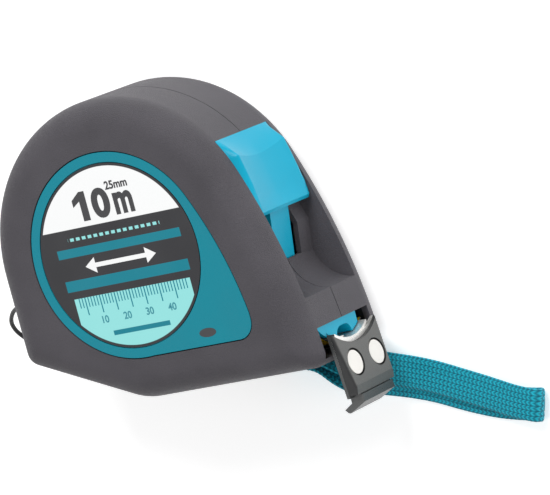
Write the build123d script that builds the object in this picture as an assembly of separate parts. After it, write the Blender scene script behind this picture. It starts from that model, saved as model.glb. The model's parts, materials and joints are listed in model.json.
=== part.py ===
from build123d import *
import math
import os

# A 10 m x 25 mm pocket tape measure lying on its left side: +X is the way the blade comes out,
# +Y is the top of the case as it is held in use, +Z is the right-hand side with its label up.
# Millimetres. Shapes are drawn about the reel axis, and moved to the object's origin at export.

# ---- driving dimensions -----------------------------------------------------------------
CASE_R = 44.75            # round back of the case, about the reel axis
CASE_T = 43.0             # case thickness
CASE_BASE = -43.0         # flat underside
FRONT_FOOT = (54.6, CASE_BASE)
REAR_FOOT = (-CASE_R, -26.8)
BASE_REAR = (-7.4, CASE_BASE)
FRONT_START = 22.0        # angle where the round back runs into the long front curve
EDGE_R = 8.0              # soft rounding between the sides and the rim
FOOT_R = 4.0              # rounding of the two lower corners in side view
MID = CASE_T / 2          # parting plane

COVER_T = 2.0             # rubber grip cover
SHELL_T = 2.0             # moulded shell under it
PART_GAP = 0.14           # half the fine groove along the parting line

LABEL_R = 27.0
LABEL_T = 0.45
PANEL_R = 30.5            # shell panel that shows through the cover, round part
PANEL_GAP = 0.35
PANEL_CORNER = (38.2, -30.4)
PANEL_SUNK = 0.15

RECESS_W = 28.0           # thumb recess, along the reel axis
LINER_T = 1.6
SLIDE_TILT = 8.5          # lean of the lock's travel, from straight down towards the back
LOCK_TRAVEL = 6.0
MOUTH = (-41.0, -32.0)    # bottom and top of the blade mouth
MOUTH_W = 27.8

POST_R = 4.0
POST_FIT = 0.05           # running clearance of the reel on its post
DRUM_R = 20.8
FLANGE_R = 36.0
FLANGE_T = 1.2
COIL_R = 34.0
BLADE_W = 23.0            # across the curved blade, 25 mm when flattened
BLADE_DIP = 4.0
BLADE_T = 0.3
BLADE_LOW = -39.0         # underside of the blade at its middle
BLADE_X = (2.0, 52.3)

HOOK_X = 55.0             # back of the hook's down-turned face
HOOK_TOP = -35.0
HOOK_HALF_TOP = 12.25
HOOK_HALF_LOW = 10.2
BLOCK_LOW = -53.2
MAGNET_R = 3.5
MAGNET_Y = -44.4
MAGNET_Z = 6.0

CORD_D = 1.3
STRAP_W = 10.0
STRAP_STACK = 3.5         # both layers of the strap where they lie against each other
FLAT_STACK = (5.4, 12.4)  # height and width where they lie flat, one beside and over the other
STRAP_FLOOR = 0.2

SCREWS = [(-36.3, -22.3), (33.8, -26.3), (-7.0, 39.4), (20.0, 34.8)]

# The object's origin is under the middle of everything but the cord and strap.
HOOK_FRONT = 59.5
CLAW_LOW = -58.6
CLAW_W = 17.0
SHIFT = (-(HOOK_FRONT - CASE_R) / 2, -(CASE_R + CLAW_LOW) / 2, 0)

# The route of the wrist strap along the foot of the case, from its clamp to its fold.
STRAP_EDGEWISE = [(18.05, -44.95), (25.0, -44.95), (31.5, -45.9)]
STRAP_FLAT = [(49.0, -51.8), (64.4, -56.2), (76.0, -61.4), (90.5, -67.4), (99.0, -69.6)]
# Both strands of the thin cord, from the clamp along the floor and up to the bar in the case.
CORD_OUTER = [(10.9, -45.3, 7.2), (2.0, -45.4, 5.2), (-10.0, -45.8, 1.0), (-24.0, -43.0, 0.95),
              (-38.0, -38.2, 1.0), (-50.0, -33.6, 3.4), (-60.0, -27.0, 8.0), (-64.0, -18.5, 12.8),
              (-58.5, -12.2, 18.4), (-50.5, -12.6, 21.3), (-42.7, -13.0, 21.5)]
CORD_INNER = [(10.9, -45.0, 3.2), (2.0, -44.0, 2.2), (-10.0, -43.0, 0.95), (-24.0, -39.8, 0.95),
              (-38.0, -34.4, 0.95), (-48.0, -30.2, 2.2), (-55.0, -26.2, 5.8), (-58.6, -21.0, 11.0),
              (-55.8, -16.8, 16.8), (-49.6, -16.6, 20.6), (-42.7, -17.0, 21.5)]


# ---- small helpers ----------------------------------------------------------------------
def bar(x, y, z):
    """A box between two corners, given as (low, high) pairs."""
    size = (x[1] - x[0], y[1] - y[0], z[1] - z[0])
    middle = ((x[0] + x[1]) / 2, (y[0] + y[1]) / 2, (z[0] + z[1]) / 2)
    return Pos(*middle) * Box(*size)


def disc(x, y, r, z0, z1):
    """A round bar along Z."""
    return Pos(x, y, (z0 + z1) / 2) * Cylinder(r, z1 - z0)


def slab(face, z0, z1):
    """A flat outline in XY, made thick from z0 to z1."""
    return Pos(0, 0, z0) * extrude(face, z1 - z0)


def poly(points):
    """A closed outline with straight sides."""
    return make_face(Polyline(*points, close=True))


def centred(face, width):
    """An outline made thick to both sides of the parting plane."""
    return slab(face, MID - width / 2, MID + width / 2)


# ---- case outlines ----------------------------------------------------------------------
def round_corner(face, point, radius):
    corner = min(face.vertices(), key=lambda v: math.dist((v.X, v.Y), point))
    return fillet(corner, radius)


def case_outline():
    """Side view of the case: round back, long front curve, flat base and a slanted heel."""
    a = math.radians(FRONT_START)
    start = (CASE_R * math.cos(a), CASE_R * math.sin(a))
    front = TangentArc(start, FRONT_FOOT, tangent=(math.sin(a), -math.cos(a)))
    base = Line(FRONT_FOOT, BASE_REAR)
    heel = Line(BASE_REAR, REAR_FOOT)
    rear = Line(REAR_FOOT, (-CASE_R, 0))
    back = CenterArc((0, 0), CASE_R, FRONT_START, 180 - FRONT_START)
    face = make_face(Wire([front, base, heel, rear, back]))
    for point, radius in ((FRONT_FOOT, FOOT_R), (REAR_FOOT, FOOT_R), (BASE_REAR, 20)):
        face = round_corner(face, point, radius)
    return face


def envelope(inset):
    """The case's rounded block, or the same block drawn in by an even wall."""
    face = case_outline()
    if inset:
        face = offset(face, -inset, kind=Kind.INTERSECTION).face()
    block = slab(face, inset, CASE_T - inset)
    rims = [e for e in block.edges() if abs(abs(e.center().Z - MID) - (MID - inset)) < 1e-3]
    return fillet(rims, EDGE_R - inset)


def panel_outline(gap):
    """The panel round the label: a disc drawn out to a blunt corner at the lower front."""
    r, corner_x, foot_y = PANEL_R - gap, PANEL_CORNER[0] - gap, PANEL_CORNER[1] + gap
    a = math.radians(26)
    start = (r * math.cos(a), r * math.sin(a))
    side = TangentArc(start, (corner_x, -23.0), tangent=(math.sin(a), -math.cos(a)))
    drop = Line((corner_x, -23.0), (corner_x, foot_y))
    foot = Line((corner_x, foot_y), (0, foot_y))
    spokes = [Line((0, foot_y), (0, 0)), Line((0, 0), start)]
    horn = make_face(Wire([side, drop, foot] + spokes))
    horn = round_corner(horn, (corner_x, foot_y), 5.5 - gap)
    return Circle(r) + horn


# ---- thumb recess -----------------------------------------------------------------------
RECESS_FLOOR = [(32.5, 22.5), (42.3, -4.0), (41.0, -13.2)]
BAND_TOP = (52.4, -23.0)
SLOT_Y = (-12.8, 14.0)
SLOT_W = 15.6
ARM_W = 10.0
SHOE_X = (36.2, 41.4)      # brake shoe at the foot of the lock's arm, behind the hook's tongue
SLIDE = (-math.sin(math.radians(SLIDE_TILT)), -math.cos(math.radians(SLIDE_TILT)))


def recess_outline():
    """Side view of the thumb recess: sunk track, then a scoop that runs out at the band."""
    upper = Polyline((42.5, 29.4), RECESS_FLOOR[0], RECESS_FLOOR[1], RECESS_FLOOR[2])
    scoop = ThreePointArc(RECESS_FLOOR[2], (44.6, -19.6), BAND_TOP)
    out = Polyline(BAND_TOP, (70, -23.4), (70, 29.4), (42.5, 29.4))
    return make_face(Wire(upper.edges() + [scoop] + out.edges()))


def arm_line(y, ahead):
    """X of a line that runs along the lock's travel, the given distance ahead of the arm."""
    return 42.6 + ahead + math.tan(math.radians(SLIDE_TILT)) * (y - 2.0)


def arm_track(spare):
    """Side view of the lock arm, grown by a clearance: a strip that widens to the brake shoe."""
    t = 2.0 + spare
    top, knee, front, back = 9.0 + spare, -24.0, SHOE_X[1] + spare, SHOE_X[0] - spare
    return poly([(arm_line(top, spare), top), (arm_line(knee, spare), knee),
                 (front, -29.0 + spare), (front, -31.4 - spare), (back, -31.4 - spare),
                 (arm_line(-27.0, -t), -27.0), (arm_line(top, -t), top)])


# ---- case -------------------------------------------------------------------------------
def blade_arc(low, dip, half, thick):
    """The blade's curved section in the YZ plane, hollow side up: underside at low."""
    r = (half * half + dip * dip) / (2 * dip)
    centre = low + r
    ring = Circle(r) - Circle(r - thick)
    ring = Pos(0, centre) * ring
    window = Pos(0, low + dip / 2) * Rectangle(2 * half, dip + 2 * thick)
    return ring & window


def case_cuts():
    """Everything taken out of both the covers and the shells."""
    mouth = bar((44, 62), MOUTH, (MID - MOUTH_W / 2, MID + MOUTH_W / 2))
    recess = centred(recess_outline(), RECESS_W)
    slot = bar((30, 46), SLOT_Y, (MID - SLOT_W / 2, MID + SLOT_W / 2))
    swept = [centred(Pos(SLIDE[0] * s, SLIDE[1] * s) * arm_track(0.4), ARM_W + 0.8)
             for s in (0, LOCK_TRAVEL / 3, 2 * LOCK_TRAVEL / 3, LOCK_TRAVEL)]
    socket = bar((44.3, 51.4), (-34.0, -28.7), (MID - 10.4, MID + 10.4))
    eyelet = bar((-47, -40.2), (-19.4, -10.6), (MID - 3.2, MID + 3.2))
    cuts = [mouth, recess, slot, socket, eyelet] + swept
    for x, y in SCREWS:
        cuts.append(disc(x, y, 3.1, -1, 3.4))
    return cuts


def recess_liner():
    """The cover turns in round the recess and lines its walls and floor."""
    wall = offset(recess_outline(), LINER_T, kind=Kind.INTERSECTION).face()
    return centred(wall, RECESS_W + 2 * LINER_T)


def cover_and_shell():
    outer, inner = envelope(0), envelope(COVER_T)
    hollow = envelope(COVER_T + SHELL_T)
    liner = recess_liner() & outer
    window = slab(panel_outline(0), -1, CASE_T + 1)
    lanes = bar((-12, 60), (-40.4, -34.0), (MID - 12.6, MID + 12.6))
    cover = (outer - inner - window) + liner
    shell = inner - hollow - liner - lanes
    panels = slab(panel_outline(PANEL_GAP), PANEL_SUNK, CASE_T - PANEL_SUNK)
    seat = LABEL_R + 0.3
    depth = PANEL_SUNK + LABEL_T + 0.05
    panels -= disc(0, 0, seat, -1, depth) + disc(0, 0, seat, CASE_T - depth, CASE_T + 1)
    panels -= bar((-60, 60), (-60, 60), (COVER_T, CASE_T - COVER_T))
    shell += panels
    for x, y in SCREWS:
        boss = disc(x, y, 3.0, 3.0, CASE_T - 3.0) & inner
        shell += boss
    for cut in case_cuts():
        cover -= cut
        shell -= cut
    for x, y in SCREWS:
        cover -= disc(x, y, 1.7, -1, MID)
        shell -= disc(x, y, 1.7, -1, MID) + disc(x, y, 1.2, MID - 1, MID + 12)
    shell -= lanyard_bar()
    cover -= lanyard_bar()
    return cover, shell


def halves(solid, gap):
    """Left (low Z) and right (high Z) halves at the parting plane."""
    big = 200
    left = solid & bar((-big, big), (-big, big), (-1, MID - gap))
    right = solid & bar((-big, big), (-big, big), (MID + gap, CASE_T + 1))
    return left, right


def screws():
    """Pan-head screws from the left side into the bosses of the right shell."""
    group = []
    for x, y in SCREWS:
        head = disc(x, y, 2.7, 1.6, 3.4)
        head -= Pos(x, y, 1.9) * Box(3.2, 0.7, 0.8) + Pos(x, y, 1.9) * Box(0.7, 3.2, 0.8)
        group.append((head + disc(x, y, 1.2, 3.4, MID + 9)).solid())
    return Compound(group)


def lanyard_bar():
    return disc(-41.6, -15.0, 0.9, MID - 5.0, MID + 5.0)


# ---- reel -------------------------------------------------------------------------------
REEL_Z = (7.0, CASE_T - 7.0)


def spring_post():
    """Fixed steel post with the slot that holds the power spring's inner end."""
    post = disc(0, 0, POST_R, COVER_T + SHELL_T, CASE_T - COVER_T - SHELL_T)
    return post - bar((0, 6), (-0.5, 0.5), (11, 32))


def reel_drum():
    """Drum that holds the spring inside and the blade outside, with one flange."""
    z0, z1 = REEL_Z
    drum = disc(0, 0, FLANGE_R, z0, z0 + FLANGE_T)
    drum += disc(0, 0, DRUM_R, z0, z1 - FLANGE_T) - disc(0, 0, DRUM_R - 1.4, z0 + FLANGE_T, z1)
    drum += disc(0, 0, 6.2, z0, z0 + 3.0)
    return drum - disc(0, 0, POST_R + POST_FIT, 0, CASE_T)


def reel_cover():
    """Flanged lid on the open side of the drum."""
    z1 = REEL_Z[1]
    lid = disc(0, 0, FLANGE_R, z1 - FLANGE_T, z1) + disc(0, 0, 6.2, z1 - 3.0, z1)
    return lid - disc(0, 0, POST_R + POST_FIT, 0, CASE_T)


def spiral(r_in, turns, pitch, thick, z0, z1):
    """A flat strip wound into a spiral, as half circles on two alternating centres."""
    inner, outer = [], []
    r, x = r_in, 0.0
    for half in range(int(turns * 2)):
        start = 180 * (half % 2)
        inner.append(CenterArc((x, 0), r, start, 180))
        outer.append(CenterArc((x, 0), r + thick, start, 180))
        shift = pitch / 4 if half % 2 == 0 else -pitch / 4
        x, r = x + shift, r + pitch / 4
    first = Line(inner[0] @ 0, outer[0] @ 0)
    last = Line(inner[-1] @ 1, outer[-1] @ 1)
    return slab(make_face(Wire(inner + outer + [first, last])), z0, z1)


def power_spring():
    return spiral(7.6, 9, 1.2, 0.45, REEL_Z[0] + 4.0, REEL_Z[1] - 4.0)


def blade_coil():
    """Ten metres of blade wound flat on the drum."""
    z0, z1 = MID - 12.5, MID + 12.5
    return disc(0, 0, COIL_R, z0, z1) - disc(0, 0, DRUM_R, z0 - 1, z1 + 1)


# ---- blade and hook ---------------------------------------------------------------------
def yz_prism(face, x0, x1):
    """An outline drawn in (Z, Y) about the parting plane, carried along X."""
    plane = Plane(origin=(x0, 0, MID), x_dir=(0, 0, 1), z_dir=(-1, 0, 0))
    return extrude(plane * face, -(x1 - x0))


def blade_lead():
    """The stretch of blade from the coil to the hook, hollow side up."""
    strip = yz_prism(blade_arc(BLADE_LOW, BLADE_DIP, BLADE_W / 2, BLADE_T), *BLADE_X)
    return strip - hook_rivets()


RIVETS = [(46.5, -2.2), (46.5, 2.2), (50.8, 0.0)]
RIVET_R = 0.9
FLOAT = 1.3               # length of the slots that let the hook float on its rivets
BLADE_R = ((BLADE_W / 2) ** 2 + BLADE_DIP ** 2) / (2 * BLADE_DIP)


def rivet_spot(x, z):
    """A place on the blade at a rivet, with local Y pointing up square to the blade."""
    lean = -math.degrees(math.asin(z / BLADE_R))
    return Pos(x, BLADE_LOW + BLADE_R, MID) * Rot(lean, 0, 0) * Pos(0, -BLADE_R, 0)


def hook_outline(top_dip, low):
    """Front view of the hook: a tapering plate with a hollow top edge."""
    plate = poly([(-HOOK_HALF_TOP, HOOK_TOP), (HOOK_HALF_TOP, HOOK_TOP),
                  (HOOK_HALF_LOW, low), (-HOOK_HALF_LOW, low)])
    r = (HOOK_HALF_TOP ** 2 + top_dip ** 2) / (2 * top_dip)
    return plate - Pos(0, HOOK_TOP - top_dip + r) * Circle(r)


def hook_plate():
    """Pressed steel hook: tongue on the blade, face down the front, claw turned back."""
    tongue_low = BLADE_LOW + BLADE_T + 0.06
    tongue = yz_prism(blade_arc(tongue_low, BLADE_DIP - 1.4, 9.0, 0.8), 43.0, HOOK_X + 0.5)
    for x, z in RIVETS:
        tongue -= rivet_spot(x - FLOAT / 2, z) * Box(FLOAT, 6, 2 * RIVET_R + 0.2)
        for back in (0.0, FLOAT):
            tongue -= rivet_spot(x - back, z) * Rot(90, 0, 0) * Cylinder(RIVET_R + 0.1, 6)
    face = yz_prism(hook_outline(3.1, -54.0), HOOK_X, HOOK_X + 1.0)
    claw = centred(poly([(HOOK_X, -53.4), (59.2, -53.4), (59.5, -55.6), (53.4, CLAW_LOW),
                         (52.2, -57.2), (HOOK_X, -55.6)]), CLAW_W)
    claw = chamfer(claw.edges().filter_by(Axis.Z).sort_by(Axis.Y)[0], 0.5)
    return tongue + face + claw


def hook_block():
    """Grey magnet carrier on the front of the hook, thicker towards its foot."""
    side = poly([(HOOK_X + 1.0, -34.0), (56.8, -34.0), (59.3, -50.6), (58.9, BLOCK_LOW),
                 (HOOK_X + 1.0, BLOCK_LOW)])
    block = centred(side, 30) & yz_prism(hook_outline(4.3, BLOCK_LOW), 50, 65)
    front = [e for e in block.edges().filter_by(lambda e: e.center().X > 57.2)
             if abs(e.center().Z - MID) > 9 and e.length > 8]
    block = fillet(front, 0.8)
    for z in (-MAGNET_Z, MAGNET_Z):
        block -= magnet_seat(z, MAGNET_R + 0.55, 1.6)
    return block


def magnet_spot(z):
    """A place on the block's sloping front, with local Z pointing out square to it."""
    lean = math.degrees(math.atan2(2.5, 16.6))
    face_x = 56.8 + 2.5 * (-34.0 - MAGNET_Y) / 16.6
    return Pos(face_x, MAGNET_Y, MID + z) * Rot(0, 0, lean) * Rot(0, 90, 0)


def magnet_seat(z, radius, depth):
    """A round bar square to the block's sloping front, down to a depth below it."""
    return magnet_spot(z) * Pos(0, 0, 1.5 - depth / 2) * Cylinder(radius, depth + 3)


def hook_magnets():
    pair = []
    for z in (-MAGNET_Z, MAGNET_Z):
        pair.append((magnet_spot(z) * Pos(0, 0, -0.9) * Cylinder(MAGNET_R, 1.3)).solid())
    return Compound(pair)


def blade_guide():
    """Moulded guide over the blade in the mouth, with an arch that lets the rivets pass."""
    block = bar((44.4, 53.2), (-37.5, -32.05), (MID - 8.0, MID + 13.6))
    block &= Pos(50, BLADE_LOW + BLADE_R, MID) * Rot(0, 90, 0) * Cylinder(BLADE_R - 0.6, 20)
    tongue_r = 15.75
    over = bar((40, 60), (-40, -33), (MID - 9.3, MID + 9.3))
    over -= Pos(50, tongue_r - 37.51, MID) * Rot(0, 90, 0) * Cylinder(tongue_r, 30)
    arch = bar((40, 60), (-40, -34.2), (MID - 4.1, MID + 4.1))
    arch = fillet(arch.edges().filter_by(Axis.X).group_by(Axis.Y)[-1], 3.0)
    tab = bar((44.6, 51.2), (-32.5, -28.9), (MID - 8.0, MID + 10.2))
    return block - over - arch + tab


def hook_rivets():
    group = []
    for x, z in RIVETS:
        stem = Pos(0, 0.75, 0) * Rot(90, 0, 0) * Cylinder(RIVET_R, 1.6)
        head = Pos(0, 1.53, 0) * Rot(90, 0, 0) * Cylinder(1.6, 0.4)
        group.append((rivet_spot(x, z) * (stem + head)).solid())
    return Compound(group)


# ---- thumb lock -------------------------------------------------------------------------
PAD_W = RECESS_W - 0.6


def lock_button():
    """Thumb pad, flush with the front of the case, with a shallow scoop for the thumb."""
    side = case_outline() & poly([(39.6, 27.0), (36.5, 24.9), (35.9, 22.4), (43.9, 2.2),
                                  (44.3, 1.6), (60.0, 0.4), (60.0, 27.0)])
    pad = centred(side, PAD_W)
    scoop = Pos(66.0, 9.0, MID) * Rot(0, 0, 21) * Sphere(21.5)
    return pad - scoop


def lock_arm():
    """Arm under the pad: strip in the slot, brake shoe over the hollow of the blade."""
    low = BLADE_LOW + BLADE_T + LOCK_TRAVEL * math.cos(math.radians(SLIDE_TILT)) + 0.05
    sole_r = BLADE_R - 0.9
    arm = centred(arm_track(0), ARM_W)
    shoe = bar(SHOE_X, (low - 1, -30.0), (MID - ARM_W / 2, MID + ARM_W / 2))
    shoe &= Pos(SHOE_X[0], low + sole_r, MID) * Rot(0, 90, 0) * Cylinder(sole_r, 20)
    root = centred(poly([(arm_line(9, -2), 9), (arm_line(9, 0), 9), (43.0, 6.4), (42.8, 3.0),
                         (arm_line(3, -1), 3)]), ARM_W)
    return arm + shoe + root - lock_button()


# ---- strap and cord ---------------------------------------------------------------------
def bend_radii(points):
    """Largest even arcs for a run of straights: 0.45 of the shorter run at each corner."""
    radii = []
    for a, b, c in zip(points, points[1:], points[2:]):
        u, v = Vector(*b) - Vector(*a), Vector(*c) - Vector(*b)
        half = math.radians(u.get_angle(v)) / 2
        radii.append(0.45 * min(u.length, v.length) / math.tan(half))
    return radii


def route(points):
    points = [tuple(p) + (0,) * (3 - len(p)) for p in points]
    radii = bend_radii(points)
    print("bend radii, mm:", [round(r, 1) for r in radii])
    return FilletPolyline(*points, radius=radii)


def swept(path, section):
    """A section carried along a path, kept upright."""
    start = path @ 0
    plane = Plane(origin=start, x_dir=(0, 0, 1), z_dir=path % 0)
    return sweep(plane * section, path=path)


def wrist_strap():
    """Outer shape of the doubled strap: on edge along the case, then laid flat."""
    lift = STRAP_FLOOR + STRAP_W / 2
    rise = STRAP_FLOOR + FLAT_STACK[0] / 2
    edgewise = route([(x, y, lift) for x, y in STRAP_EDGEWISE])
    flat = route([(x, y, rise) for x, y in STRAP_FLAT])
    first = swept(edgewise, Rectangle(STRAP_W, STRAP_STACK))
    last = swept(flat, Rectangle(*FLAT_STACK))
    turn_a = Plane(origin=edgewise @ 1, x_dir=(0, 0, 1), z_dir=edgewise % 1)
    turn_b = Plane(origin=flat @ 0, x_dir=(0, 0, 1), z_dir=flat % 0)
    twist = loft([turn_a * Rectangle(STRAP_W, STRAP_STACK), turn_b * Rectangle(*FLAT_STACK)],
                 ruled=True)
    return first + twist + last


def strap_clamp():
    """Crimped clamp that closes the strap's two ends on the thin cord."""
    clamp = bar((11.0, 18.0), (-47.0, -43.15), (0.1, 10.5))
    return fillet(clamp.edges(), 0.8)


def cord_strands():
    """The two strands of the thin cord, each a round tube."""
    strands = []
    for points in (CORD_OUTER, CORD_INNER):
        path = route(points)
        tube = swept(path, Circle(CORD_D / 2))
        ideal = math.pi * (CORD_D / 2) ** 2 * path.length
        print("cord strand length %.1f, volume %.1f of %.1f" % (path.length, tube.volume, ideal))
        strands.append(tube.solid())
    return Compound(strands)


# ---- export -----------------------------------------------------------------------------
def label(z):
    return disc(0, 0, LABEL_R, z, z + LABEL_T)


def build():
    cover, shell = cover_and_shell()
    left_cover, right_cover = halves(cover, PART_GAP)
    left_shell, right_shell = halves(shell, 0)
    return {
        "right_case_shell": right_shell,
        "left_case_shell": left_shell,
        "right_grip_cover": right_cover,
        "left_grip_cover": left_cover,
        "right_label": label(CASE_T - PANEL_SUNK - LABEL_T),
        "left_label": label(PANEL_SUNK),
        "case_screws": screws(),
        "lanyard_bar": lanyard_bar(),
        "spring_post": spring_post(),
        "reel_drum": reel_drum(),
        "reel_cover": reel_cover(),
        "power_spring": power_spring(),
        "blade_coil": blade_coil(),
        "blade_lead": blade_lead(),
        "hook_plate": hook_plate(),
        "hook_rivets": hook_rivets(),
        "hook_block": hook_block(),
        "hook_magnets": hook_magnets(),
        "blade_guide": blade_guide(),
        "lock_button": lock_button(),
        "lock_arm": lock_arm(),
        "lanyard_cord": cord_strands(),
        "strap_clamp": strap_clamp(),
        "wrist_strap": wrist_strap(),
    }


os.makedirs("parts", exist_ok=True)
for name, solid in build().items():
    export_step(Pos(*SHIFT) * solid, "parts/%s.step" % name)
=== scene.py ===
import json
import math

import bpy
import numpy as np
from mathutils import Matrix, Vector


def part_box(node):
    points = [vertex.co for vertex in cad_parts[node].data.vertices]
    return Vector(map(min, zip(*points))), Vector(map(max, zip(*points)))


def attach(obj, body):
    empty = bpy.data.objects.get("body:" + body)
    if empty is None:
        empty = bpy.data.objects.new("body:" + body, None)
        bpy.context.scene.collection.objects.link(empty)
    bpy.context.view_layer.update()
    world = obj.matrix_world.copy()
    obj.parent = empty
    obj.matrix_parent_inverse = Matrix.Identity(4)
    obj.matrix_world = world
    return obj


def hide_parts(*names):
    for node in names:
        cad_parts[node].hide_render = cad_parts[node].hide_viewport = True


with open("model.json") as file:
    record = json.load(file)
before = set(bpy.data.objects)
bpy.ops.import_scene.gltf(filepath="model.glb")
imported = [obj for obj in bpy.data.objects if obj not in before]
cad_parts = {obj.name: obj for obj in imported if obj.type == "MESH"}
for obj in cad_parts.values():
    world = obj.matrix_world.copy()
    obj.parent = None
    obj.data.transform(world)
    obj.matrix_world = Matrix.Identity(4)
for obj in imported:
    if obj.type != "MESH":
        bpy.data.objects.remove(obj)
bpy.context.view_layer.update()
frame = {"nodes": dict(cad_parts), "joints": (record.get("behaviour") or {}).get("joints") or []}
JOINTS = {joint["name"]: joint for joint in frame["joints"]}
AXLE = Vector(JOINTS["reel_spin"]["pos_m"])


# ---- camera ------------------------------------------------------------------------------
# The camera looks at the label side and the front of the tape together, from well over the
# thumb lock. The tape lies on its left side, so the picture is turned to stand it upright.
AIM = Vector((0.03053, -0.00209, 0.02154))
AZIMUTH, ELEVATION, ROLL = (math.radians(a) for a in (10.542, 55.823, -113.816))
CAMERA_FAR = 1.2732

back = Vector((math.cos(ELEVATION) * math.cos(AZIMUTH), math.cos(ELEVATION) * math.sin(AZIMUTH),
               math.sin(ELEVATION)))
level = Vector((0, 0, 1)).cross(back).normalized()
right = math.cos(ROLL) * level + math.sin(ROLL) * back.cross(level)
up = back.cross(right)
lens = bpy.data.cameras.new("camera")
lens.sensor_width = 36.0
lens.lens = 293.3
lens.clip_start, lens.clip_end = 0.05, 20.0
camera = bpy.data.objects.new("camera", lens)
bpy.context.scene.collection.objects.link(camera)
camera.matrix_world = Matrix.Translation(AIM + CAMERA_FAR * back) @ Matrix(
    (right, up, back)).transposed().to_4x4()
bpy.context.scene.camera = camera


# ---- floor and lights --------------------------------------------------------------------
# A plain pale board under the tape, a bright even room, and three wide soft lamps: one high
# over the top of the case, one beyond its front, and a weak one behind its back.
def srgb(red, green, blue):
    """A colour from its 0 to 255 screen values, as the linear values shaders use."""
    parts = [value / 255 for value in (red, green, blue)]
    return [p / 12.92 if p <= 0.04045 else ((p + 0.055) / 1.055) ** 2.4 for p in parts] + [1.0]


def link_mesh(name, points, faces, smooth=True):
    """A mesh object from arrays of points, in metres, and of faces."""
    mesh = bpy.data.meshes.new(name)
    mesh.from_pydata(np.asarray(points).tolist(), [], [list(map(int, f)) for f in faces])
    mesh.polygons.foreach_set("use_smooth", np.full(len(mesh.polygons), smooth))
    mesh.update()
    piece = bpy.data.objects.new(name, mesh)
    bpy.context.scene.collection.objects.link(piece)
    return piece


def new_material(name, colour, roughness, **shader_inputs):
    """A material and its Principled shader, with what is the same all over it set on the shader."""
    material = bpy.data.materials.new(name)
    material.use_nodes = True
    shader = material.node_tree.nodes["Principled BSDF"]
    shader.inputs["Base Color"].default_value = colour
    shader.inputs["Roughness"].default_value = roughness
    for socket, value in shader_inputs.items():
        shader.inputs[socket.replace("_", " ")].default_value = value
    return material, shader


bpy.context.scene.view_settings.view_transform = "Standard"
board = link_mesh("board", [(-1.5, -1.5, -0.0002), (1.5, -1.5, -0.0002), (1.5, 1.5, -0.0002),
                            (-1.5, 1.5, -0.0002)], [(0, 1, 2, 3)])
pale_board, _ = new_material("pale_board", (0.92, 0.92, 0.92, 1), 0.8,
                             Emission_Color=(1, 1, 1, 1), Emission_Strength=0.42)
board.data.materials.append(pale_board)

room = bpy.data.worlds.new("room")
room.use_nodes = True
room.node_tree.nodes["Background"].inputs["Color"].default_value = (1, 1, 1, 1)
room.node_tree.nodes["Background"].inputs["Strength"].default_value = 0.34
bpy.context.scene.world = room
for name, place, size, power in (("lamp_top", (0.15, 0.8, 0.7), 0.6, 7.5),
                                 ("lamp_front", (0.85, -0.2, 0.5), 0.5, 2.6),
                                 ("lamp_back", (-0.6, -0.2, 0.85), 0.6, 2.2)):
    lamp = bpy.data.lights.new(name, "AREA")
    lamp.shape = "DISK"
    lamp.size = size
    lamp.energy = power
    holder = bpy.data.objects.new(name, lamp)
    bpy.context.scene.collection.objects.link(holder)
    holder.matrix_world = (Matrix.Translation(place)
                           @ (Vector(place) - AXLE).to_track_quat("Z", "Y").to_matrix().to_4x4())


# ---- thin cord ---------------------------------------------------------------------------
# A twisted black cord 1.3 mm thick. It leaves the strap's clamp, goes through the slot in the
# back of the case, round the steel bar behind it, and back into the clamp.
def add_node(tree, kind, wired=None, **settings):
    """A node with its settings, and its inputs linked where they are given as sockets."""
    made = tree.nodes.new(kind)
    for setting, value in settings.items():
        setattr(made, setting, value)
    for socket, value in (wired or {}).items():
        if isinstance(value, bpy.types.NodeSocket):
            tree.links.new(value, made.inputs[socket])
        else:
            made.inputs[socket].default_value = value
    return made


def math_node(tree, operation, first, second=0.0):
    """One sum on sockets or numbers; its output socket."""
    return add_node(tree, "ShaderNodeMath", {0: first, 1: second},
                    operation=operation).outputs[0]


def mix_colours(tree, share, first, second):
    """The first colour going over to the second as share goes from 0 to 1."""
    made = add_node(tree, "ShaderNodeMix", {0: share, 6: first, 7: second}, data_type="RGBA")
    return made.outputs[2]


def between(tree, value, low, high, soft):
    """1 where the value lies between low and high, with edges of the given softness."""
    rise = add_node(tree, "ShaderNodeMapRange", {0: value, 1: low - soft, 2: low + soft},
                    clamp=True).outputs[0]
    fall = add_node(tree, "ShaderNodeMapRange", {0: value, 1: high - soft, 2: high + soft, 3: 1,
                                                 4: 0}, clamp=True).outputs[0]
    return math_node(tree, "MULTIPLY", rise, fall)


def new_group(name, inputs, outputs):
    """A shader node group; its tree and the nodes that hold its inputs and outputs."""
    tree = bpy.data.node_groups.new(name, "ShaderNodeTree")
    for kind, sockets in (("INPUT", inputs), ("OUTPUT", outputs)):
        for socket, form in sockets.items():
            tree.interface.new_socket(socket, in_out=kind, socket_type="NodeSocket" + form)
    return tree, tree.nodes.new("NodeGroupInput"), tree.nodes.new("NodeGroupOutput")


GRAIN, given, told = new_group("grain", {"Vector": "Vector", "Per metre": "Float"},
                               {"Height": "Float", "Patches": "Float"})
speckle = add_node(GRAIN, "ShaderNodeTexNoise", {"Vector": given.outputs["Vector"],
                   "Scale": given.outputs["Per metre"], "Detail": 3.0, "Roughness": 0.6})
cloud = add_node(GRAIN, "ShaderNodeTexNoise", {"Vector": given.outputs["Vector"], "Scale": 55.0,
                 "Detail": 2.0, "Roughness": 0.5})
GRAIN.links.new(speckle.outputs["Fac"], told.inputs["Height"])
GRAIN.links.new(cloud.outputs["Fac"], told.inputs["Patches"])


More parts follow.
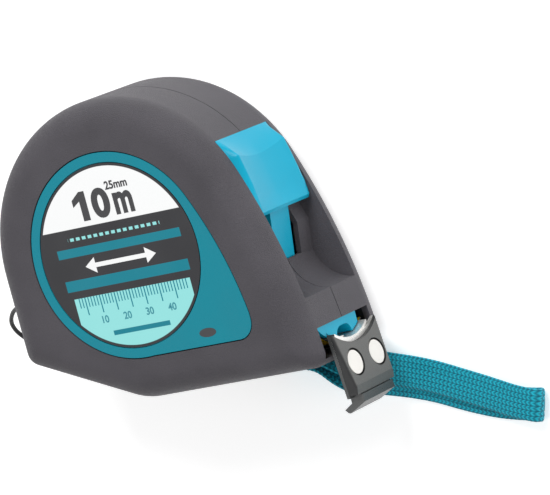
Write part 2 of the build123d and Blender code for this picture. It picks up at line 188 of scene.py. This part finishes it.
def place_grain(material, per_metre):
    """The grain group in a material, on Object coordinates; its node."""
    tree = material.node_tree
    where = add_node(tree, "ShaderNodeTexCoord").outputs["Object"]
    made = add_node(tree, "ShaderNodeGroup", node_tree=GRAIN)
    tree.links.new(where, made.inputs["Vector"])
    made.inputs["Per metre"].default_value = per_metre
    return made


def bump(material, height, rise):
    """Feeds a height into the shader's normal, as relief of the given rise in metres."""
    tree = material.node_tree
    made = add_node(tree, "ShaderNodeBump", {"Height": height, "Distance": rise,
                                             "Strength": 1.0})
    tree.links.new(made.outputs[0], tree.nodes["Principled BSDF"].inputs["Normal"])


def toned(material, share, low, high):
    """Feeds the base colour with one tone going over to another."""
    tree = material.node_tree
    tree.links.new(mix_colours(tree, share, low, high),
                   tree.nodes["Principled BSDF"].inputs["Base Color"])


def roughened(material, share, low, high):
    """Feeds the roughness with a value that goes from low to high."""
    tree = material.node_tree
    made = add_node(tree, "ShaderNodeMapRange", {0: share, 1: 0.3, 2: 0.7, 3: low, 4: high})
    tree.links.new(made.outputs[0], tree.nodes["Principled BSDF"].inputs["Roughness"])


def placed(points):
    """Points given in millimetres about the reel's axle and up from the floor, in the frame."""
    points = np.asarray(points, float) / 1000
    return points + np.array((AXLE.x, AXLE.y, 0.0))


def soft_line(name, points):
    """A curve object with one smooth open spline that has the points as its controls."""
    curve = bpy.data.curves.new(name, "CURVE")
    curve.dimensions = "3D"
    spline = curve.splines.new("NURBS")
    spline.points.add(len(points) - 1)
    spline.points.foreach_set("co", np.c_[points, np.ones(len(points))].ravel())
    spline.order_u = 3
    spline.use_endpoint_u = True
    spline.resolution_u = 24
    piece = bpy.data.objects.new(name, curve)
    bpy.context.scene.collection.objects.link(piece)
    return piece


CORD_ROUTE = [(13.0, -45.3, 7.2), (10.9, -45.3, 7.2), (2.0, -45.4, 5.2), (-10.0, -45.8, 1.0),
              (-24.0, -43.0, 0.95), (-38.0, -38.2, 1.0), (-50.0, -33.6, 3.4),
              (-61.5, -27.0, 8.0), (-67.5, -18.5, 12.8), (-60.0, -11.8, 18.4),
              (-50.5, -12.2, 21.3), (-42.6, -12.0, 21.5), (-39.4, -12.0, 21.5),
              (-37.6, -13.75, 21.5), (-37.6, -16.25, 21.5), (-39.4, -18.0, 21.5),
              (-42.6, -18.0, 21.5), (-49.6, -17.1, 20.6), (-56.5, -16.8, 16.8),
              (-59.6, -21.0, 11.0), (-55.0, -26.2, 5.8), (-48.0, -30.2, 2.2),
              (-38.0, -34.4, 0.95), (-24.0, -39.8, 0.95), (-10.0, -43.0, 0.95),
              (2.0, -44.0, 2.2), (10.9, -45.0, 3.2), (13.0, -45.0, 3.2)]
CORD_THICK = 0.0013
loop_cord = soft_line("loop_cord", placed(CORD_ROUTE))
loop_cord.data.bevel_depth = CORD_THICK / 2
loop_cord.data.bevel_resolution = 4
loop_cord.data.use_fill_caps = True
black_cord, _ = new_material("black_cord", srgb(20, 20, 22), 0.62,
                                             Sheen_Weight=0.25)
strands = place_grain(black_cord, 1600)
toned(black_cord, strands.outputs["Height"], srgb(8, 8, 9), srgb(44, 44, 47))
bump(black_cord, strands.outputs["Height"], 0.0003)
loop_cord.data.materials.append(black_cord)
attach(loop_cord, "case")
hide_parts("lanyard_cord")


# ---- wrist strap -------------------------------------------------------------------------
# A flat braid of teal polyester, 10 mm wide, doubled into a loop. It stands on edge at its
# clamp, twists flat beside the hook, and folds back at its far end.
STRAP_WIDE, STRAP_THICK = 9.7, 1.6
STRAP_ROUTE = [(13.5, -44.1, 5.1), (18.5, -44.0, 5.1), (25.0, -44.0, 5.1), (31.5, -44.9, 5.1),
               (39.0, -46.6, 5.3), (49.0, -50.6, 3.9), (64.4, -55.2, 3.4), (76.0, -60.4, 3.4),
               (84.0, -64.0, 3.5), (90.5, -66.8, 4.4), (95.3, -68.5, 4.8), (98.4, -69.5, 4.7),
               (98.4, -70.0, 1.2), (95.3, -69.5, 1.1), (90.5, -68.6, 1.1), (84.0, -67.1, 1.1),
               (75.1, -63.9, 1.1), (63.3, -58.7, 1.1), (49.0, -54.8, 1.4), (40.0, -52.2, 4.8),
               (31.5, -46.9, 5.2), (25.0, -45.8, 5.1), (18.5, -45.8, 5.1), (13.5, -45.7, 5.1)]
TWIST_X = (31.5, 49.0)
BRAID_COLUMN, BRAID_PITCH = 1.5, 1.3
FOLD_LONG = 4             # the end stretch where the strap turns back, its heading held


def curve_points(piece):
    """The points of a curve's own line, as Blender works it out, in millimetres about the axle."""
    bpy.context.view_layer.update()
    line = bpy.data.meshes.new_from_object(
        piece.evaluated_get(bpy.context.evaluated_depsgraph_get()))
    points = np.zeros(len(line.vertices) * 3)
    line.vertices.foreach_get("co", points)
    bpy.data.meshes.remove(line)
    return (points.reshape(-1, 3) - (AXLE.x, AXLE.y, 0.0)) * 1000


def even_steps(points, step):
    """The same line with points at even distances along it; also those distances."""
    run = np.r_[0, np.cumsum(np.linalg.norm(np.diff(points, axis=0), axis=1))]
    along = np.linspace(0, run[-1], int(run[-1] / step) + 1)
    return np.stack([np.interp(along, run, points[:, i]) for i in range(3)], 1), along


def unit(vectors):
    return vectors / np.linalg.norm(vectors, axis=-1, keepdims=True)


def braid_strap(name, line, along):
    """A flattened round of the strap carried along the line.
    Its half width and half thickness follow a rounded box, cos and sin drawn to the power
    0.45, and its width turns from upright to level over the twist. The yarns lift the surface
    by a sine along the strap that is skewed to and fro from column to column."""
    count, round_steps = len(line), 72
    tangent = unit(np.gradient(line, axis=0))
    turned_back = np.argmax(line[:, 0])
    heading = tangent * [[1, 1, 0]]
    heading[turned_back:] *= -1
    near_fold = line[:, 0] > line[:, 0].max() - FOLD_LONG
    heading[near_fold] = heading[~near_fold][line[~near_fold, 0].argmax()]
    heading = unit(heading)
    side = np.stack([-heading[:, 1], heading[:, 0], np.zeros(count)], 1)
    t = np.clip((line[:, 0] - TWIST_X[0]) / (TWIST_X[1] - TWIST_X[0]), 0, 1)
    angle = (math.pi / 2) * (t * t * (3 - 2 * t))[:, None]
    wide = np.cos(angle) * [[0, 0, 1]] - np.sin(angle) * side
    thick = unit(np.cross(wide, tangent))
    wide = unit(np.cross(tangent, thick))
    turn = np.linspace(0, 2 * math.pi, round_steps, endpoint=False)[None, :]
    across = np.sign(np.cos(turn)) * np.abs(np.cos(turn)) ** 0.45 * STRAP_WIDE / 2
    through = np.sign(np.sin(turn)) * np.abs(np.sin(turn)) ** 0.75 * STRAP_THICK / 2
    run = along[:, None]
    column = np.abs(2 * (across / BRAID_COLUMN - np.floor(across / BRAID_COLUMN)) - 1)
    lift = 0.09 * np.sin(2 * math.pi * (run / BRAID_PITCH + 0.55 * column)) + 0.08 * column ** 2
    scale = 1 + lift / (STRAP_THICK / 2)
    grid = (line[:, None, :] + wide[:, None, :] * across[..., None]
            + thick[:, None, :] * (through * scale)[..., None])
    i = np.arange(count - 1)[:, None] * round_steps
    j = np.arange(round_steps)[None, :]
    k = (j + 1) % round_steps
    faces = np.stack([i + j, i + round_steps + j, i + round_steps + k, i + k], -1).reshape(-1, 4)
    caps = [list(range(round_steps)),
            list(range((count - 1) * round_steps, count * round_steps))[::-1]]
    piece = link_mesh(name, placed(grid.reshape(-1, 3)), faces.tolist() + caps)
    corner = np.zeros(len(piece.data.loops), int)
    piece.data.loops.foreach_get("vertex_index", corner)
    flat = np.stack([np.broadcast_to(run, (count, round_steps)),
                     np.broadcast_to(across, (count, round_steps))], -1).reshape(-1, 2)
    lay = piece.data.uv_layers.new(name="braid")
    lay.data.foreach_set("uv", flat[corner].astype(np.float32).ravel())
    return piece


guide_line = soft_line("strap_line", placed(STRAP_ROUTE))
strap_path, strap_run = even_steps(curve_points(guide_line), 0.3)
bpy.data.objects.remove(guide_line)
braided_strap = braid_strap("braided_strap", strap_path, strap_run)
teal_braid, teal_braid_shader = new_material("teal_braid", srgb(0, 130, 158), 0.6,
                                             Sheen_Weight=0.08, Specular_IOR_Level=0.2)
tree = teal_braid.node_tree
flat_place = add_node(tree, "ShaderNodeUVMap", uv_map="braid").outputs[0]
parts = add_node(tree, "ShaderNodeSeparateXYZ", {0: flat_place}).outputs
column = math_node(tree, "PINGPONG", math_node(tree, "ADD", parts[1], 30.0), BRAID_COLUMN / 2)
skew = math_node(tree, "MULTIPLY", column, 1.1 / BRAID_COLUMN)
turns = math_node(tree, "ADD", math_node(tree, "DIVIDE", parts[0], BRAID_PITCH), skew)
yarn = math_node(tree, "SINE", math_node(tree, "MULTIPLY", turns, 2 * math.pi))
yarn = math_node(tree, "MULTIPLY", math_node(tree, "ADD", yarn, 1.0), 0.5)
# Painted shade in the grooves between braid columns.
groove_painted_shade = math_node(tree, "LESS_THAN", column, 0.14)
fluff = place_grain(teal_braid, 2200)
# Painted shade in the yarn hollows and painted highlight on the yarn crests, with random lighter
# fluff.
weave_with_painted_shade = mix_colours(tree, yarn, srgb(0, 84, 108), srgb(16, 172, 196))
weave_with_painted_shade = mix_colours(tree, math_node(tree, "MULTIPLY", fluff.outputs["Height"], 0.4), weave_with_painted_shade,
                    srgb(44, 196, 214))
weave_with_painted_shade = mix_colours(tree, math_node(tree, "MULTIPLY", groove_painted_shade, 0.6), weave_with_painted_shade, srgb(0, 62, 84))
tree.links.new(weave_with_painted_shade, teal_braid_shader.inputs["Base Color"])
bump(teal_braid, yarn, 0.00015)
braided_strap.data.materials.append(teal_braid)
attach(braided_strap, "case")
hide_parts("wrist_strap")


# ---- strap clamp -------------------------------------------------------------------------
# A small block of black plastic moulded round the two ends of the strap and of the cord.
def finish_node(node, material):
    """Gives a CAD node's own mesh a material in every slot it has."""
    slots = frame["nodes"][node].material_slots
    if not slots:
        frame["nodes"][node].data.materials.append(material)
    for slot in slots:
        slot.material = material


clamp_black, _ = new_material("clamp_black", srgb(30, 30, 32), 0.45)
grain = place_grain(clamp_black, 4000)
toned(clamp_black, grain.outputs["Patches"], srgb(24, 24, 26), srgb(46, 46, 50))
bump(clamp_black, grain.outputs["Height"], 0.0001)
finish_node("strap_clamp", clamp_black)


# ---- case shells -------------------------------------------------------------------------
# Two halves of hard teal ABS, injection moulded in a lightly spark-eroded tool. Their round
# panels show through the covers. Round the blade's mouth they carry painted shade, near black.
MOUTH_SHADE_FROM = Vector(placed([(42.0, -30.9, 0.0)])[0])
case_teal, _ = new_material("case_teal", srgb(28, 146, 164), 0.46, Specular_IOR_Level=0.22)
grain = place_grain(case_teal, 5200)
tree = case_teal.node_tree
case_axes = add_node(tree, "ShaderNodeSeparateXYZ", {
    0: add_node(tree, "ShaderNodeTexCoord").outputs["Object"]}).outputs
# Painted shade: inside the blade's mouth the teal is coloured near black.
mouth_painted_shade = math_node(tree, "MULTIPLY", between(tree, case_axes[0], MOUTH_SHADE_FROM.x, 1, 0.0005),
                     between(tree, case_axes[1], -1, MOUTH_SHADE_FROM.y, 0.0005))
teal = mix_colours(tree, grain.outputs["Patches"], srgb(6, 128, 146), srgb(14, 140, 158))
toned(case_teal, mouth_painted_shade, teal, srgb(26, 28, 30))
roughened(case_teal, grain.outputs["Patches"], 0.42, 0.55)
bump(case_teal, grain.outputs["Height"], 0.00006)
for node in ("right_case_shell", "left_case_shell"):
    finish_node(node, case_teal)


# ---- grip covers -------------------------------------------------------------------------
# Soft grey rubber moulded over both shells, with a fine matt grain all over.
grip_rubber, _ = new_material("grip_rubber", srgb(82, 80, 85), 0.62,
                                        Sheen_Weight=0.08, Specular_IOR_Level=0.3)
grain = place_grain(grip_rubber, 3000)
tree = grip_rubber.node_tree
tone = math_node(tree, "ADD", math_node(tree, "MULTIPLY", grain.outputs["Height"], 0.5),
                 math_node(tree, "MULTIPLY", grain.outputs["Patches"], 0.5))
toned(grip_rubber, tone, srgb(44, 42, 47), srgb(98, 95, 101))
roughened(grip_rubber, grain.outputs["Patches"], 0.55, 0.7)
bump(grip_rubber, grain.outputs["Height"], 0.00022)
for node in ("right_grip_cover", "left_grip_cover"):
    finish_node(node, grip_rubber)


# ---- labels ------------------------------------------------------------------------------
# A printed polyester disc sunk in each panel: white above, charcoal across the middle, and
# pale aqua below with a scale. The size is printed in large figures.
low_corner, high_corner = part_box("right_label")
label_middle = (low_corner + high_corner) / 2
LABEL_R = (high_corner.x - low_corner.x) * 500
label_print, label_shader = new_material("label_print", srgb(246, 247, 247), 0.42,
                                         Specular_IOR_Level=0.2)
tree = label_print.node_tree
object_place = add_node(tree, "ShaderNodeTexCoord").outputs["Object"]
centred = add_node(tree, "ShaderNodeMapping", {
    "Vector": object_place, "Scale": (1000, 1000, 1000),
    "Location": (-label_middle.x * 1000, -label_middle.y * 1000, 0)}).outputs[0]
axes = add_node(tree, "ShaderNodeSeparateXYZ", {0: centred}).outputs
x, y = axes[0], axes[1]
radius = math_node(tree, "SQRT", math_node(tree, "ADD", math_node(tree, "MULTIPLY", x, x),
                                           math_node(tree, "MULTIPLY", y, y)))


def marks(tree, along, pitch, line_wide):
    """1 on lines that repeat at the pitch: the distance to the nearest line is tested."""
    turns = math_node(tree, "DIVIDE", along, pitch)
    off = math_node(tree, "ABSOLUTE", math_node(tree, "SUBTRACT", turns, math_node(
        tree, "ROUND", turns)))
    return math_node(tree, "LESS_THAN", math_node(tree, "MULTIPLY", off, pitch), line_wide / 2)


def both(tree, first, second):
    return math_node(tree, "MULTIPLY", first, second)


def either(tree, first, second):
    return math_node(tree, "MAXIMUM", first, second)


INK, TEAL_INK, AQUA, WHITE = (srgb(54, 54, 57), srgb(10, 128, 146), srgb(150, 226, 224),
                              srgb(247, 248, 248))
ground = mix_colours(tree, between(tree, y, 10.1, 40, 0.05), INK, WHITE)
ground = mix_colours(tree, both(tree, between(tree, y, -40, -10.0, 0.05),
                                between(tree, x, -19.5, 21.5, 0.05)), ground, AQUA)
short_ticks = both(tree, marks(tree, x, 1.05, 0.34), between(tree, y, -12.9, -10.0, 0.05))
long_ticks = both(tree, marks(tree, x, 5.25, 0.4), between(tree, y, -15.2, -10.0, 0.05))
scale_area = between(tree, x, -18.4, 20.4, 0.05)
ground = mix_colours(tree, both(tree, either(tree, short_ticks, long_ticks), scale_area), ground,
                     TEAL_INK)
stripes = either(tree, between(tree, y, 2.0, 4.6, 0.05), between(tree, y, -7.8, -4.6, 0.05))
ground = mix_colours(tree, both(tree, stripes, between(tree, x, -21.0, 22.5, 0.05)), ground,
                     TEAL_INK)
dashes = both(tree, both(tree, between(tree, y, 6.6, 7.5, 0.05), marks(tree, x, 2.1, 1.3)),
              between(tree, x, -16.2, 16.4, 0.05))
ground = mix_colours(tree, dashes, ground, AQUA)
lower_stripe = both(tree, between(tree, y, -22.3, -20.9, 0.05), between(tree, x, -9, 11, 0.05))
ground = mix_colours(tree, lower_stripe, ground, TEAL_INK)
ground = mix_colours(tree, between(tree, radius, LABEL_R - 0.75, 60, 0.05), ground, INK)
tree.links.new(ground, label_shader.inputs["Base Color"])
grain = place_grain(label_print, 900)
roughened(label_print, grain.outputs["Patches"], 0.38, 0.5)
bump(label_print, grain.outputs["Height"], 0.00001)
for node in ("right_label", "left_label"):
    finish_node(node, label_print)

figure_ink, _ = new_material("figure_ink", INK, 0.5)
grain = place_grain(figure_ink, 5000)
toned(figure_ink, grain.outputs["Patches"], srgb(48, 48, 51), srgb(62, 62, 65))
white_ink, _ = new_material("white_ink", WHITE, 0.4)
grain = place_grain(white_ink, 5000)
toned(white_ink, grain.outputs["Patches"], srgb(240, 241, 241), srgb(252, 252, 252))
teal_ink, _ = new_material("teal_ink", TEAL_INK, 0.4)
grain = place_grain(teal_ink, 5000)
toned(teal_ink, grain.outputs["Patches"], srgb(26, 130, 144), srgb(36, 150, 164))
INK_THICK = 0.00004


def print_on(piece, face):
    """Lays a flat mesh drawn in XY on a label: shifted to it, or turned over for the left one."""
    if face == "right":
        to = Matrix.Translation((label_middle.x, label_middle.y, high_corner.z))
    else:
        to = (Matrix.Translation((label_middle.x, label_middle.y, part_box("left_label")[0].z))
              @ Matrix.Rotation(math.pi, 4, "Y"))
    piece.data.transform(to)
    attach(piece, "case")


def figures(name, text, middle, height, bold, stretch, ink, face):
    """A printed figure or sign as a thin raised mesh, its height and middle in millimetres."""
    writing = bpy.data.curves.new(name, "FONT")
    writing.body = text
    writing.align_x, writing.align_y = "CENTER", "CENTER"
    writing.offset = bold
    writing.size = 1.0
    writing.extrude = 0.01
    holder = bpy.data.objects.new(name + "_text", writing)
    bpy.context.scene.collection.objects.link(holder)
    bpy.context.view_layer.update()
    mesh = bpy.data.meshes.new_from_object(
        holder.evaluated_get(bpy.context.evaluated_depsgraph_get()))
    bpy.data.objects.remove(holder)
    points = np.zeros(len(mesh.vertices) * 3)
    mesh.vertices.foreach_get("co", points)
    points = points.reshape(-1, 3)
    points -= (points.min(0) + points.max(0)) / 2
    points *= height / (points[:, 1].max() - points[:, 1].min()) / 1000
    points[:, 0] *= stretch
    points[:, :2] += np.array(middle) / 1000
    points[:, 2] = np.where(points[:, 2] > 0, INK_THICK, -INK_THICK)
    mesh.vertices.foreach_set("co", points.ravel())
    mesh.update()
    piece = bpy.data.objects.new(name, mesh)
    bpy.context.scene.collection.objects.link(piece)
    mesh.materials.clear()
    mesh.materials.append(ink)
    print_on(piece, face)
    return piece


def printed(name, outline, y, ink, face):
    """A printed shape given by its outline in millimetres, as a thin closed solid."""
    outline = (np.array(outline) + (0, y)) / 1000
    count = len(outline)
    points = np.r_[np.c_[outline, np.full(count, -INK_THICK)],
                   np.c_[outline, np.full(count, INK_THICK)]]
    ring = np.arange(count)
    walls = np.stack([(ring + 1) % count, ring, ring + count, (ring + 1) % count + count], 1)
    faces = walls.tolist() + [ring.tolist(), (ring + count)[::-1].tolist()]
    piece = link_mesh(name, points, faces, smooth=False)
    piece.data.materials.append(ink)
    print_on(piece, face)


ARROW = [(-12.5, 0), (-8.9, 2.3), (-8.9, 0.65), (8.9, 0.65), (8.9, 2.3), (12.5, 0),
         (8.9, -2.3), (8.9, -0.65), (-8.9, -0.65), (-8.9, -2.3)]
ONE = [(-8.7, 17.5), (-11.2, 16.0), (-11.2, 18.0), (-8.2, 20.2), (-6.3, 20.2), (-6.3, 11.6),
       (-8.7, 11.6)]

SCALE_FROM, SCALE_STEP = -18.375, 7.875      # places of the figures under the scale
for face in ("right", "left"):
    printed(face + "_length_one", ONE, 0.0, figure_ink, face)
    figures(face + "_length_nought", "0", (-1.5, 15.9), 8.8, 0.045, 1.06, figure_ink, face)
    figures(face + "_length_unit", "m", (6.3, 14.8), 6.4, 0.04, 0.76, figure_ink, face)
    figures(face + "_width_figures", "25mm", (5.2, 20.4), 2.5, 0.03, 0.95, figure_ink, face)
    for count in range(1, 5):
        figures(face + "_scale_%d" % count, str(count * 10),
                (SCALE_FROM + SCALE_STEP * count, -17.2), 2.2, 0.02, 0.95, teal_ink, face)
    printed(face + "_width_arrow", ARROW, -1.3, white_ink, face)

OVAL_SIDES, OVAL_MIDDLE, OVAL_HALF, OVAL_HEIGHTS = 40, (22.6, -26.4), (2.9, 1.3), (42.83, 42.88)
oval = link_mesh("panel_oval", placed(
    [(OVAL_MIDDLE[0] + OVAL_HALF[0] * math.cos(a), OVAL_MIDDLE[1] + OVAL_HALF[1] * math.sin(a), z)
     for z in OVAL_HEIGHTS for a in np.linspace(0, 2 * math.pi, OVAL_SIDES, endpoint=False)]),
    [(i, (i + 1) % OVAL_SIDES, OVAL_SIDES + (i + 1) % OVAL_SIDES, OVAL_SIDES + i)
     for i in range(OVAL_SIDES)]
    + [tuple(range(OVAL_SIDES))[::-1], tuple(range(OVAL_SIDES, 2 * OVAL_SIDES))], smooth=False)
oval.data.materials.append(figure_ink)
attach(oval, "case")


# ---- case screws -------------------------------------------------------------------------
# Zinc-plated pan-head screws with a cross recess, in the left side.
zinc, _ = new_material("zinc_steel", (0.62, 0.62, 0.62, 1), 0.3, Metallic=1.0)
grain = place_grain(zinc, 2500)
toned(zinc, grain.outputs["Height"], (0.5, 0.5, 0.52, 1), (0.72, 0.72, 0.71, 1))
roughened(zinc, grain.outputs["Height"], 0.22, 0.42)
for node in ("case_screws", "lanyard_bar", "spring_post"):
    finish_node(node, zinc)


# ---- reel --------------------------------------------------------------------------------
# Black nylon drum and lid with the blued spring inside and the blade wound outside.
reel_black, _ = new_material("reel_plastic", srgb(62, 62, 65), 0.45)
grain = place_grain(reel_black, 3500)
toned(reel_black, grain.outputs["Patches"], srgb(54, 54, 57), srgb(70, 70, 74))
bump(reel_black, grain.outputs["Height"], 0.00008)
for node in ("reel_drum", "reel_cover"):
    finish_node(node, reel_black)
blued, _ = new_material("spring_steel", (0.3, 0.32, 0.36, 1), 0.3, Metallic=1.0)
grain = place_grain(blued, 1500)
toned(blued, grain.outputs["Patches"], (0.2, 0.22, 0.28, 1), (0.4, 0.4, 0.42, 1))
finish_node("power_spring", blued)


# ---- blade -------------------------------------------------------------------------------
# Sprung steel 0.3 mm thick, hollow side up, lacquered yellow. Both edges carry black
# millimetre lines, longer at each fifth and tenth.
blade_yellow, blade_shader = new_material("blade_yellow", srgb(240, 200, 30), 0.35,
                                          Coat_Weight=0.4)
tree = blade_yellow.node_tree
blade_low, blade_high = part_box("blade_lead")
blade_place = add_node(tree, "ShaderNodeMapping", {
    "Vector": add_node(tree, "ShaderNodeTexCoord").outputs["Object"], "Scale": (1000, 1000, 1000),
    "Location": (-blade_high.x * 1000, 0, -AXLE.z * 1000)}).outputs[0]
blade_axes = add_node(tree, "ShaderNodeSeparateXYZ", {0: blade_place}).outputs
from_edge = math_node(tree, "ABSOLUTE", blade_axes[2])
fine = both(tree, marks(tree, blade_axes[0], 1.0, 0.22), between(tree, from_edge, 8.6, 20, 0.05))
fifth = both(tree, marks(tree, blade_axes[0], 5.0, 0.26), between(tree, from_edge, 7.2, 20, 0.05))
tenth = both(tree, marks(tree, blade_axes[0], 10.0, 0.3), between(tree, from_edge, 5.2, 20, 0.05))
lines = either(tree, either(tree, fine, fifth), tenth)
grain = place_grain(blade_yellow, 2600)
lacquer = mix_colours(tree, grain.outputs["Patches"], srgb(236, 190, 22), srgb(246, 208, 44))
tree.links.new(mix_colours(tree, lines, lacquer, srgb(20, 20, 20)),
               blade_shader.inputs["Base Color"])
bump(blade_yellow, grain.outputs["Height"], 0.00003)
for node in ("blade_coil", "blade_lead"):
    finish_node(node, blade_yellow)


# ---- hook --------------------------------------------------------------------------------
# Pressed steel hook, riveted loosely to the blade: bright nickel at the top and on the tongue,
# dark lacquer on its foot, painted shade on its faces turned to +z. A grey block on its face
# carries two bright magnets; all but the block's front face carry painted shade.
nickel, _ = new_material("hook_nickel", (0.78, 0.76, 0.72, 1), 0.26, Metallic=1.0)
grain = place_grain(nickel, 1800)
toned(nickel, grain.outputs["Patches"], (0.7, 0.68, 0.64, 1), (0.86, 0.84, 0.8, 1))
roughened(nickel, grain.outputs["Height"], 0.18, 0.38)
finish_node("hook_rivets", nickel)
dark_hook, dark_shader = new_material("hook_lacquer", srgb(84, 85, 84), 0.34)
tree = dark_hook.node_tree
grain = place_grain(dark_hook, 3800)
hook_axes = add_node(tree, "ShaderNodeSeparateXYZ", {
    0: add_node(tree, "ShaderNodeTexCoord").outputs["Object"]}).outputs
hook_faces = add_node(tree, "ShaderNodeSeparateXYZ", {
    0: add_node(tree, "ShaderNodeTexCoord").outputs["Normal"]}).outputs
# Painted shade: faces turned to +z are coloured dark like the lacquered foot.
plated_unless_foot_or_painted_shade = both(tree, between(tree, hook_axes[1], AXLE.y - 0.046, 1, 0.0002),
              between(tree, hook_faces[2], -2, 0.75, 0.05))
toned(dark_hook, plated_unless_foot_or_painted_shade, srgb(66, 68, 68), (0.86, 0.85, 0.82, 1))
tree.links.new(math_node(tree, "MULTIPLY", plated_unless_foot_or_painted_shade, 0.75), dark_shader.inputs["Metallic"])
roughened(dark_hook, grain.outputs["Height"], 0.24, 0.4)
bump(dark_hook, grain.outputs["Height"], 0.00006)
finish_node("hook_plate", dark_hook)
block_grey, _ = new_material("block_grey", srgb(88, 88, 87), 0.46)
tree = block_grey.node_tree
grain = place_grain(block_grey, 3600)
# Painted shade: every face of the block but its front takes the darker side tone.
facing = add_node(tree, "ShaderNodeSeparateXYZ", {
    0: add_node(tree, "ShaderNodeTexCoord").outputs["Normal"]}).outputs[0]
front = between(tree, facing, 0.8, 2, 0.12)
face_tone = mix_colours(tree, grain.outputs["Height"], srgb(74, 75, 74), srgb(104, 104, 102))
side_painted_shade = mix_colours(tree, grain.outputs["Height"], srgb(26, 27, 28), srgb(50, 51, 52))
toned(block_grey, front, side_painted_shade, face_tone)
bump(block_grey, grain.outputs["Height"], 0.00008)
finish_node("hook_block", block_grey)
magnet_nickel, _ = new_material("magnet_nickel", srgb(232, 229, 223), 0.36, Metallic=0.2)
grain = place_grain(magnet_nickel, 1200)
toned(magnet_nickel, grain.outputs["Patches"], srgb(228, 225, 219), srgb(238, 235, 230))
roughened(magnet_nickel, grain.outputs["Patches"], 0.3, 0.42)
finish_node("hook_magnets", magnet_nickel)


# ---- thumb lock --------------------------------------------------------------------------
# Bright cyan acetal: the thumb pad, the arm that carries it down the slot to the brake shoe,
# and the fixed guide of the same plastic that holds the blade down in the mouth.
lock_cyan, _ = new_material("lock_cyan", srgb(6, 176, 220), 0.36, Specular_IOR_Level=0.3)
grain = place_grain(lock_cyan, 4200)
toned(lock_cyan, grain.outputs["Patches"], srgb(0, 158, 190), srgb(0, 168, 200))
roughened(lock_cyan, grain.outputs["Patches"], 0.28, 0.4)
bump(lock_cyan, grain.outputs["Height"], 0.00004)
for node in ("lock_arm", "blade_guide"):
    finish_node(node, lock_cyan)

PAD_HALF, PAD_CREST = 13.7, 12.2
PAD_RIDGE = [(36.8, 25.45), (39.6, 22.8), (42.4, 20.1), (43.2, 16.9), (43.9, 13.7), (44.5, 11.0),
             (45.0, 6.9), (45.4, 2.7), (44.5, 1.7)]
PAD_MIDDLE = [(36.8, 25.45), (38.9, 21.9), (40.9, 18.2), (41.3, 16.4), (41.9, 13.8),
              (42.5, 10.8), (43.35, 6.6), (44.5, 2.7), (44.1, 1.7)]
PAD_RIM = [(36.8, 25.45), (38.4, 22.7), (39.8, 19.9), (41.2, 16.7), (42.4, 13.6), (43.4, 11.0),
           (44.6, 6.9), (45.0, 2.7), (44.4, 1.7)]
PAD_BACK = [(44.0, 1.7), (43.9, 2.4), (39.9, 12.3), (35.9, 22.4), (36.3, 25.0)]


def thumb_pad(name):
    """A loop of the pad's side view carried across its width.
    In front the side view goes from the middle line to the ridge line with the distance from
    the middle to the power 1.7, which is the scoop for the thumb. Outside the crests it falls
    in a quarter wave to the rim, level with the cover."""
    top_rows, low_rows, columns = 14, 50, 97
    t_given = np.linspace(0, 1, len(PAD_RIDGE))
    t = np.r_[np.linspace(0, t_given[2], top_rows), np.linspace(t_given[2], 1, low_rows + 1)[1:]]
    ridge, middle, rim = (np.stack([np.interp(t, t_given, [p[i] for p in line])
                                    for i in (0, 1)], 1)
                          for line in (PAD_RIDGE, PAD_MIDDLE, PAD_RIM))
    z = np.linspace(-PAD_HALF, PAD_HALF, columns)
    out = np.abs(z)[None, :]
    share = np.clip(out / PAD_CREST, 0, 1) ** 1.7
    front = middle[:, None, :] + (ridge - middle)[:, None, :] * share[..., None]
    fall = 1 - np.cos(np.clip((out - PAD_CREST) / (PAD_HALF - PAD_CREST), 0, 1) * math.pi / 2)
    front = front + (rim[:, None, :] - front) * fall[..., None]
    behind = np.broadcast_to(np.array(PAD_BACK)[:, None, :], (len(PAD_BACK), columns, 2))
    loop = np.concatenate([front, behind], 0)
    ring, depth = loop.shape[0], np.broadcast_to(z[None, :, None] + AXLE.z * 1000,
                                                 (loop.shape[0], columns, 1))
    grid = np.concatenate([loop, depth], 2)
    index = np.arange(ring * columns).reshape(ring, columns)
    nxt = np.roll(index, -1, 0)
    faces = np.stack([index[:, :-1], index[:, 1:], nxt[:, 1:], nxt[:, :-1]], -1).reshape(-1, 4)
    caps = [index[:, 0].tolist(), index[::-1, -1].tolist()]
    return link_mesh(name, placed(grid.reshape(-1, 3)), faces.tolist() + caps)


pad = thumb_pad("thumb_pad")
pad.data.set_sharp_from_angle(angle=math.radians(14))
pad.data.materials.append(lock_cyan)
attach(pad, "lock")
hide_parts("lock_button")
